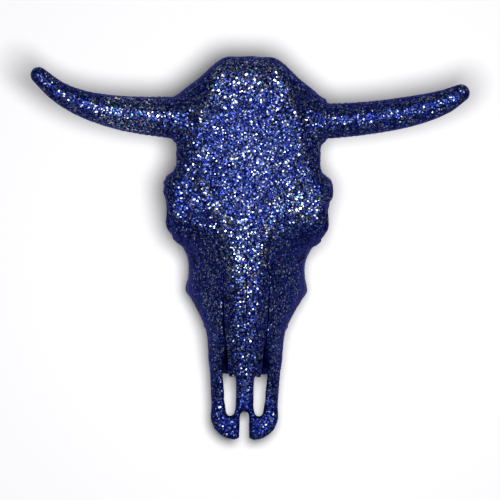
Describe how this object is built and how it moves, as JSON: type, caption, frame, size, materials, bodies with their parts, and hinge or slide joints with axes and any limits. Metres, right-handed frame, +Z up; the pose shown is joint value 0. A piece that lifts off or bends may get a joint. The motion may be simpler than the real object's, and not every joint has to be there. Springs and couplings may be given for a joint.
{
  "type": "glitter-coated cow skull",
  "caption": "Life-size cow skull with short curved horns and no lower jaw, coated all over in midnight-blue glitter; a still decorative piece that lies forehead up.",
  "frame": {"origin": "middle of the box's underside, on the surface the skull lies on", "axes": "+X to the viewer's right across the horns, +Y from the nose to the poll, +Z up out of the forehead"},
  "size_m": [0.5434, 0.4792, 0.1907],
  "materials": {
    "bone_coat": "midnight-blue glitter coat over bone",
    "horn_coat": "midnight-blue glitter coat over horn"
  },
  "bodies": {
    "root": {"cranium": "bone_coat", "occipital": "bone_coat", "maxilla_left": "bone_coat", "maxilla_right": "bone_coat", "zygomatic_left": "bone_coat", "zygomatic_right": "bone_coat", "premaxilla_left": "bone_coat", "premaxilla_right": "bone_coat", "nasal_left": "bone_coat", "nasal_right": "bone_coat", "horn_left": "horn_coat", "horn_right": "horn_coat"}
  },
  "joints": []
}
